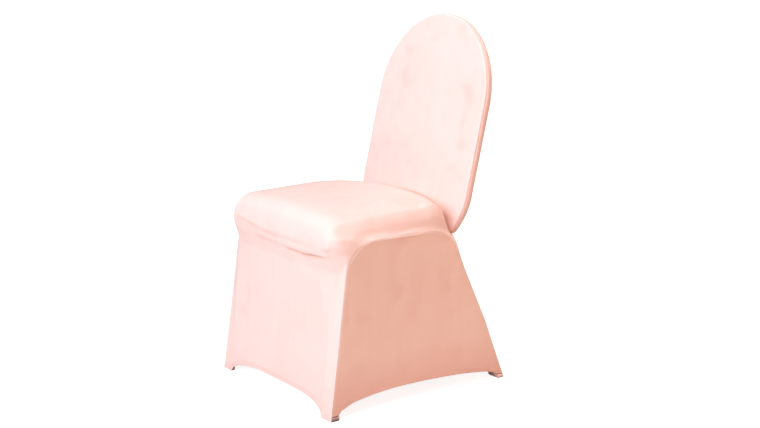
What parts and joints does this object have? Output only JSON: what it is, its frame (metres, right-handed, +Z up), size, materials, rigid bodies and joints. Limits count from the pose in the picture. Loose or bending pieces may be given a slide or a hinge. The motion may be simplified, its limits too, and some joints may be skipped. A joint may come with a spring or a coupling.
{
  "type": "fitted stretch chair cover",
  "caption": "Fitted stretch cover for a round-backed banquet chair: domed back, crowned seat, skirt drawn to foot pockets, arched hems",
  "frame": {"origin": "On the floor, under the middle of the cover's bounding box", "axes": "+Z up; the front of the seat looks along -Y; +X is the sitter's left-hand side"},
  "size_m": [0.496, 0.5588, 0.9189],
  "materials": {
    "stretch_cloth": "satin",
    "sole_cloth": "matte"
  },
  "bodies": {
    "root": {"seat_front_panel": "stretch_cloth", "inner_back_panel": "stretch_cloth", "rear_panel": "stretch_cloth", "edge_strip": "stretch_cloth", "side_panel_right": "stretch_cloth", "side_panel_left": "stretch_cloth", "foot_pocket_front_right": "sole_cloth", "foot_pocket_front_left": "sole_cloth", "foot_pocket_rear_right": "sole_cloth", "foot_pocket_rear_left": "sole_cloth"}
  },
  "joints": []
}
